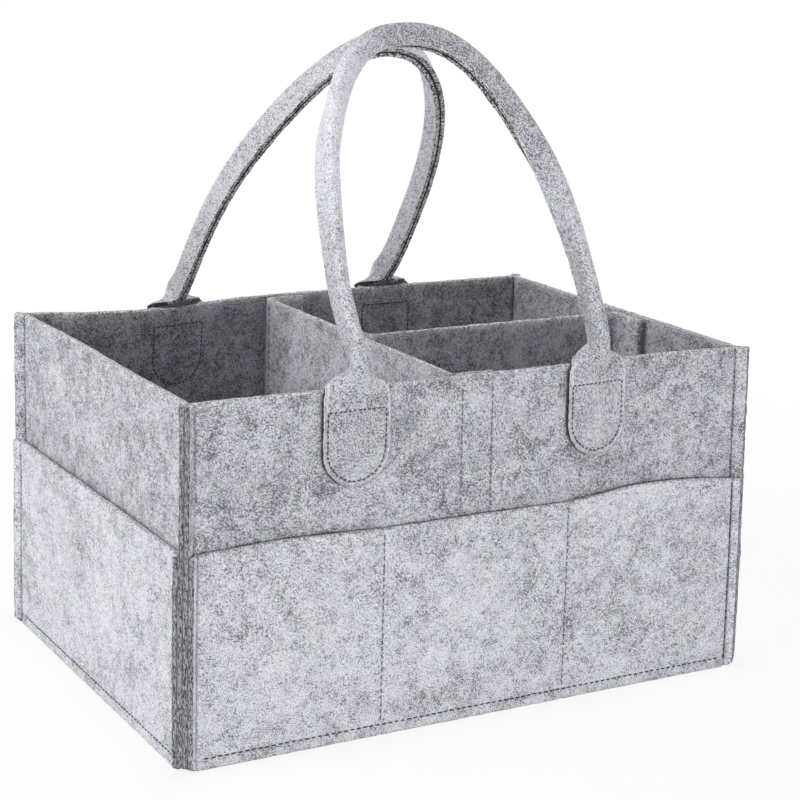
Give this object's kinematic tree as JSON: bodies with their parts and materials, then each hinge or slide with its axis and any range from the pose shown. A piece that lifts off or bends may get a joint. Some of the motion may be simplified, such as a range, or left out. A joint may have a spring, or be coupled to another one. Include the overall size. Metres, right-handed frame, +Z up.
{
  "type": "diaper caddy",
  "caption": "Open felt diaper caddy with outside pockets, strap handles that swing outward and a removable T-shaped divider insert.",
  "frame": {"origin": "under the middle of the box, on the surface that the caddy stands on", "axes": "+X along the long walls to the right, +Y from the front wall to the rear wall, +Z up"},
  "size_m": [0.3446, 0.2506, 0.3463],
  "materials": {
    "felt": "pale grey melange felt with dark fibres",
    "strap_felt": "pale grey melange felt, folded and raw edged",
    "divider_felt": "pale grey melange felt",
    "thread": "dark grey sewing thread",
    "loop_tape": "fuzzy loop tape",
    "hook_tape": "hook tape with fine rows of hooks"
  },
  "bodies": {
    "caddy": {"base_panel": "felt", "front_panel": "felt", "rear_panel": "felt", "left_panel": "felt", "right_panel": "felt", "front_pocket": "felt", "rear_pocket": "felt", "left_pocket": "felt", "right_pocket": "felt", "front_left_patch": "strap_felt", "front_right_patch": "strap_felt", "rear_left_patch": "strap_felt", "rear_right_patch": "strap_felt", "front_loop_tape": "loop_tape", "rear_loop_tape": "loop_tape", "right_loop_tape": "loop_tape", "front_left_patch_seam": "thread", "front_right_patch_seam": "thread", "rear_left_patch_seam": "thread", "rear_right_patch_seam": "thread", "front_left_pocket_seam": "thread", "front_right_pocket_seam": "thread", "rear_left_pocket_seam": "thread", "rear_right_pocket_seam": "thread", "front_bottom_seam": "thread", "rear_bottom_seam": "thread", "left_bottom_seam": "thread", "right_bottom_seam": "thread", "front_left_corner_seam": "thread", "front_right_corner_seam": "thread", "rear_left_corner_seam": "thread", "rear_right_corner_seam": "thread", "front_tape_seam_left": "thread", "front_tape_seam_right": "thread", "rear_tape_seam_left": "thread", "rear_tape_seam_right": "thread", "right_tape_seam_left": "thread", "right_tape_seam_right": "thread"},
    "front_handle": {"front_handle": "strap_felt"},
    "rear_handle": {"rear_handle": "strap_felt"},
    "divider": {"cross_divider": "divider_felt", "long_divider_flap": "divider_felt", "cross_loop_tape": "loop_tape", "flap_hook_tape": "hook_tape", "front_hook_tape": "hook_tape", "rear_hook_tape": "hook_tape"},
    "long_divider": {"long_divider": "divider_felt", "right_hook_tape": "hook_tape"}
  },
  "joints": [
    {"name": "front_handle_swing", "type": "hinge", "parent": "caddy", "child": "front_handle", "pos_m": [-0.0035, -0.1193, 0.172], "axis": [1, 0, 0], "range_deg": [0, 155]},
    {"name": "rear_handle_swing", "type": "hinge", "parent": "caddy", "child": "rear_handle", "pos_m": [-0.0035, 0.1193, 0.172], "axis": [-1, 0, 0], "range_deg": [0, 155]},
    {"name": "divider_lift", "type": "slide", "parent": "caddy", "child": "divider", "axis": [0, 0, 1], "range_m": [0, 0.09]},
    {"name": "long_divider_swing", "type": "hinge", "parent": "divider", "child": "long_divider", "pos_m": [-0.00745, -0.0095, 0.0963], "axis": [0, 0, -1], "range_deg": [0, 25]}
  ]
}
